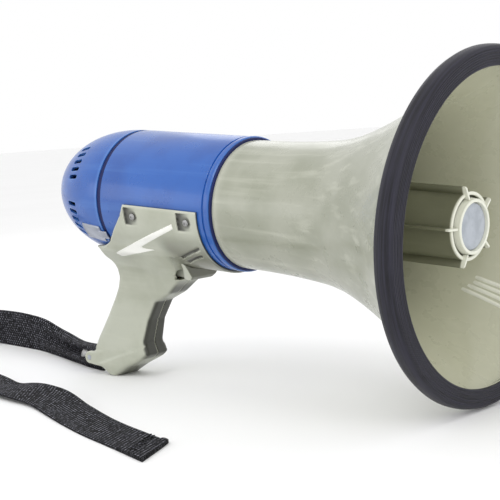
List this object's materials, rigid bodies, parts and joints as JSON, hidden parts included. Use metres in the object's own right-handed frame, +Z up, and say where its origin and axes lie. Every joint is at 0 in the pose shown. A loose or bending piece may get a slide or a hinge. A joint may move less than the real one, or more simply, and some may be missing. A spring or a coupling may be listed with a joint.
{
  "type": "handheld megaphone",
  "caption": "Handheld megaphone: a flared bell with a rubber rim, a cylindrical body with a domed rear cap, a pistol grip with a trigger, and a webbing shoulder strap.",
  "frame": {"origin": "middle of the megaphone's footprint on the surface it stands on, measured without the strap", "axes": "+X the way the bell points, level; +Y the user's left; +Z up. The horn's own axis leans 5.3 degrees nose down, because the megaphone stands on the bottom of the bell rim and the heel of the grip"},
  "size_m": [0.7409, 0.2997, 0.2306],
  "materials": {
    "grey_plastic": "glossy moulded",
    "grip_plastic": "satin-gloss moulded",
    "trigger_plastic": "satin moulded",
    "blue_plastic": "glossy moulded",
    "dark_blue_seal": "matt",
    "rim_rubber": "matt extruded",
    "disc_plastic": "satin",
    "black_plastic": "matt",
    "diaphragm_film": "satin",
    "copper_winding": "enamelled",
    "plated_steel": "zinc plated",
    "bright_steel": "polished",
    "spring_steel": "drawn",
    "ferrite": "matt sintered",
    "cell_wrap": "satin",
    "circuit_board": "solder mask",
    "aluminium": "extruded",
    "capacitor_sleeve": "satin sleeve",
    "switch_button": "matt",
    "strap_webbing": "woven"
  },
  "bodies": {
    "megaphone": {"bell": "grey_plastic", "bell_rim": "rim_rubber", "reflector_cup": "grey_plastic", "reflector_disc": "disc_plastic", "throat_tube": "grey_plastic", "driver_flange": "black_plastic", "spacer_ring": "black_plastic", "diaphragm": "diaphragm_film", "voice_coil": "copper_winding", "top_plate": "plated_steel", "magnet": "ferrite", "yoke": "plated_steel", "flange_screws": "plated_steel", "body_shell": "blue_plastic", "front_seal": "dark_blue_seal", "cap_seal": "dark_blue_seal", "battery_cells": "cell_wrap", "battery_contacts": "plated_steel", "battery_holder": "black_plastic", "amplifier_board": "circuit_board", "heat_sink": "aluminium", "board_capacitors": "capacitor_sleeve", "grip_left": "grip_plastic", "grip_right": "grip_plastic", "trigger_spring": "spring_steel", "microswitch": "black_plastic", "spring_seat": "grip_plastic", "saddle_screws": "plated_steel", "grip_screws": "plated_steel", "strap_pin": "bright_steel", "strap": "strap_webbing"},
    "cap": {"rear_cap": "blue_plastic", "mic_grille": "black_plastic", "mic_capsule": "aluminium", "volume_control": "plated_steel", "mode_switch": "plated_steel", "clip_left": "bright_steel", "clip_right": "bright_steel"},
    "knob": {"volume_knob": "black_plastic"},
    "slider": {"mode_slider": "black_plastic"},
    "trigger": {"trigger": "trigger_plastic"},
    "plunger": {"switch_plunger": "switch_button"}
  },
  "joints": [
    {"name": "cap_pull", "type": "slide", "parent": "megaphone", "child": "cap", "axis": [-0.9957, 0, 0.0932], "range_m": [0, 0.03]},
    {"name": "volume_turn", "type": "hinge", "parent": "cap", "child": "knob", "pos_m": [-0.19636, 0.0095, 0.14243], "axis": [-0.9957, 0, 0.0932], "range_deg": [0, 280]},
    {"name": "mode_slide", "type": "slide", "parent": "cap", "child": "slider", "axis": [0, 1, 0], "range_m": [0, 0.0044]},
    {"name": "trigger_pull", "type": "slide", "parent": "megaphone", "child": "trigger", "axis": [-0.9957, 0, 0.0932], "range_m": [0, 0.003], "stiffness_N_per_m": 900, "springref_m": -0.002, "deforming": ["trigger_spring"]},
    {"name": "plunger_press", "type": "slide", "parent": "megaphone", "child": "plunger", "axis": [-0.9957, 0, 0.0932], "range_m": [0, 0.003]}
  ],
  "couplings": [
    {"joint": "plunger_press", "follows": "trigger_pull", "ratio": 1}
  ]
}
